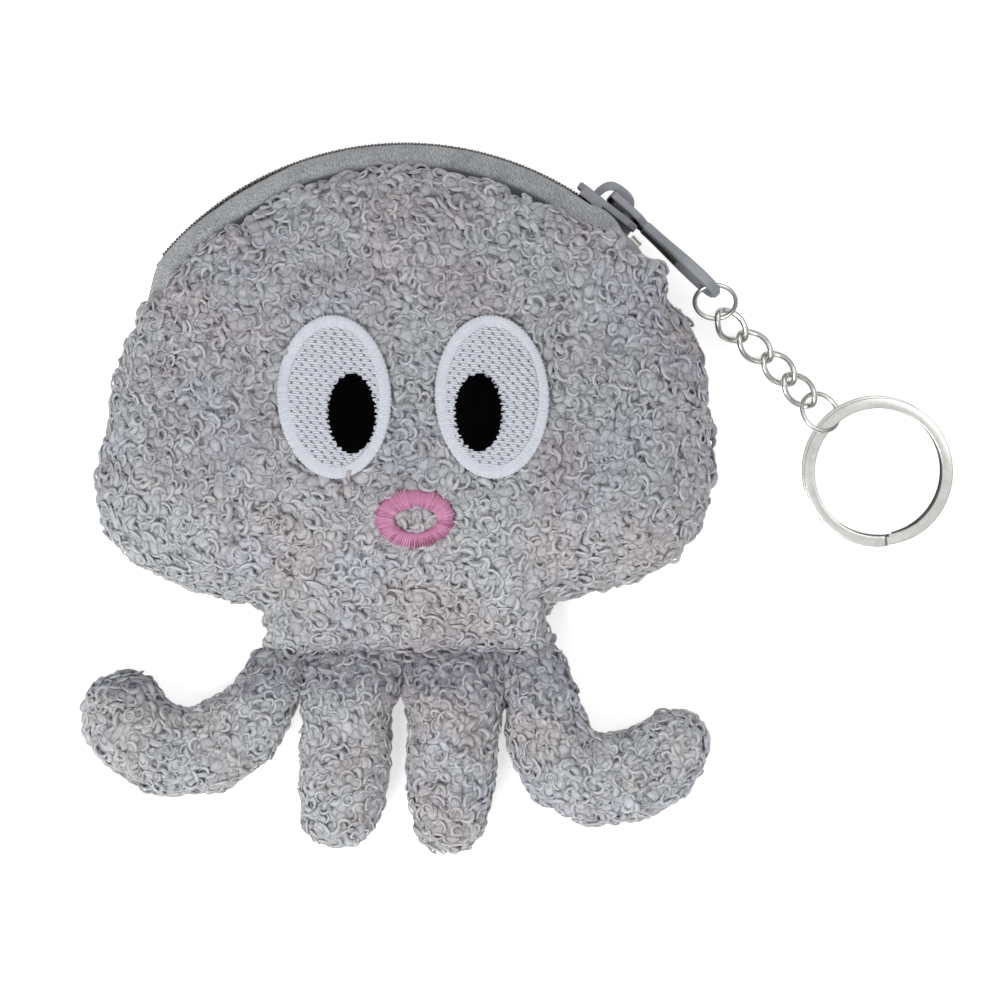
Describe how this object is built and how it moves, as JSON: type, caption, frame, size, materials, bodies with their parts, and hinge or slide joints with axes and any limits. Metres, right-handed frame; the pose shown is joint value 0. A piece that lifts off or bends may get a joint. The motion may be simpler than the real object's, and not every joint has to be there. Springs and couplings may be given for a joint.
{
  "type": "plush octopus coin purse",
  "caption": "Plush octopus coin purse with an arched zip, embroidered face, hanging tentacles, and a chain with a key ring on its zip pull.",
  "frame": {"origin": "on the flat underside of the back panel, on the head's centre line, 10.4 mm above the centre of the zip's arc", "axes": "+Z out of the face, +Y towards the top of the head and the zip, +X towards the slider, the chain and the key ring"},
  "size_m": [0.1444, 0.1178, 0.0257],
  "materials": {
    "plush": "curled grey pile",
    "lining": "plain woven lining",
    "zip_tape": "herringbone woven tape",
    "zip_teeth": "nylon",
    "slider_paint": "satin paint",
    "nickel": "bright nickel plate",
    "filling": "loose polyester filling",
    "white_thread": "embroidery stitches",
    "black_thread": "embroidery stitches",
    "pink_thread": "satin stitches"
  },
  "bodies": {
    "pouch": {"front_panel": "plush", "back_panel": "plush", "front_lining": "lining", "back_lining": "lining", "front_tape": "zip_tape", "back_tape": "zip_tape", "front_teeth": "zip_teeth", "back_teeth": "zip_teeth", "bottom_stop": "zip_teeth", "front_top_stop": "nickel", "back_top_stop": "nickel", "eye_white_left": "white_thread", "eye_white_right": "white_thread", "pupil_left": "black_thread", "pupil_right": "black_thread", "mouth_ring": "pink_thread"},
    "slider": {"slider": "slider_paint"},
    "pull": {"pull_tab": "slider_paint"},
    "pull_ring": {"pull_jump_ring": "nickel"},
    "link_1": {"curb_link_1": "nickel"},
    "link_2": {"curb_link_2": "nickel"},
    "link_3": {"curb_link_3": "nickel"},
    "link_4": {"curb_link_4": "nickel"},
    "chain_end_ring": {"key_jump_ring": "nickel"},
    "key_ring": {"key_ring": "nickel"},
    "tentacle_1": {"tentacle_1_front": "plush", "tentacle_1_back": "plush", "tentacle_1_filling": "filling"},
    "tentacle_2": {"tentacle_2_front": "plush", "tentacle_2_back": "plush", "tentacle_2_filling": "filling"},
    "tentacle_3": {"tentacle_3_front": "plush", "tentacle_3_back": "plush", "tentacle_3_filling": "filling"},
    "tentacle_4": {"tentacle_4_front": "plush", "tentacle_4_back": "plush", "tentacle_4_filling": "filling"}
  },
  "joints": [
    {"name": "slider_travel", "type": "hinge", "parent": "pouch", "child": "slider", "pos_m": [0, -0.0104, 0.0076], "axis": [0, 0, 1], "range_deg": [0, 80], "deforming": ["front_teeth", "back_teeth"]},
    {"name": "pull_swing", "type": "hinge", "parent": "slider", "child": "pull", "pos_m": [0.03466, 0.03365, 0.0076], "axis": [0, 0, 1], "range_deg": [0, 150]},
    {"name": "pull_ring_swing", "type": "hinge", "parent": "pull", "child": "pull_ring", "pos_m": [0.0505, 0.01897, 0.0076], "axis": [0.9315, 0.2829, 0.2285], "range_deg": [-50, 50]},
    {"name": "link_1_swing", "type": "hinge", "parent": "pull_ring", "child": "link_1", "pos_m": [0.05298, 0.0139, 0.0038], "axis": [-0.9315, -0.2829, -0.2285], "range_deg": [-50, 50]},
    {"name": "link_2_swing", "type": "hinge", "parent": "link_1", "child": "link_2", "pos_m": [0.05629, 0.01024, 0.00151], "axis": [0.7027, 0.2763, 0.6556], "range_deg": [-40, 40]},
    {"name": "link_3_swing", "type": "hinge", "parent": "link_2", "child": "link_3", "pos_m": [0.06077, 0.00693, 0.00115], "axis": [-0.5289, -0.4771, -0.7018], "range_deg": [-40, 40]},
    {"name": "link_4_swing", "type": "hinge", "parent": "link_3", "child": "link_4", "pos_m": [0.06472, 0.00316, 0.00104], "axis": [0.5089, 0.4915, 0.7067], "range_deg": [-40, 40]},
    {"name": "chain_end_swing", "type": "hinge", "parent": "link_4", "child": "chain_end_ring", "pos_m": [0.06801, -0.00054, 0.00126], "axis": [0.5003, 0.5003, 0.7067], "range_deg": [-40, 40]},
    {"name": "key_ring_swing", "type": "hinge", "parent": "chain_end_ring", "child": "key_ring", "pos_m": [0.07171, -0.00441, 0.00214], "axis": [0.5793, 0.5497, -0.6018], "range_deg": [-20, 40]},
    {"name": "tentacle_1_bend", "type": "hinge", "parent": "pouch", "child": "tentacle_1", "pos_m": [-0.0202, -0.042, 0.0061], "axis": [-1, 0, 0], "range_deg": [-35, 45], "stiffness_Nm_per_rad": 0.004},
    {"name": "tentacle_2_bend", "type": "hinge", "parent": "pouch", "child": "tentacle_2", "pos_m": [-0.0084, -0.042, 0.0061], "axis": [-1, 0, 0], "range_deg": [-35, 45], "stiffness_Nm_per_rad": 0.004},
    {"name": "tentacle_3_bend", "type": "hinge", "parent": "pouch", "child": "tentacle_3", "pos_m": [0.0082, -0.042, 0.0061], "axis": [-1, 0, 0], "range_deg": [-35, 45], "stiffness_Nm_per_rad": 0.004},
    {"name": "tentacle_4_bend", "type": "hinge", "parent": "pouch", "child": "tentacle_4", "pos_m": [0.021, -0.042, 0.0061], "axis": [-1, 0, 0], "range_deg": [-35, 45], "stiffness_Nm_per_rad": 0.004}
  ]
}
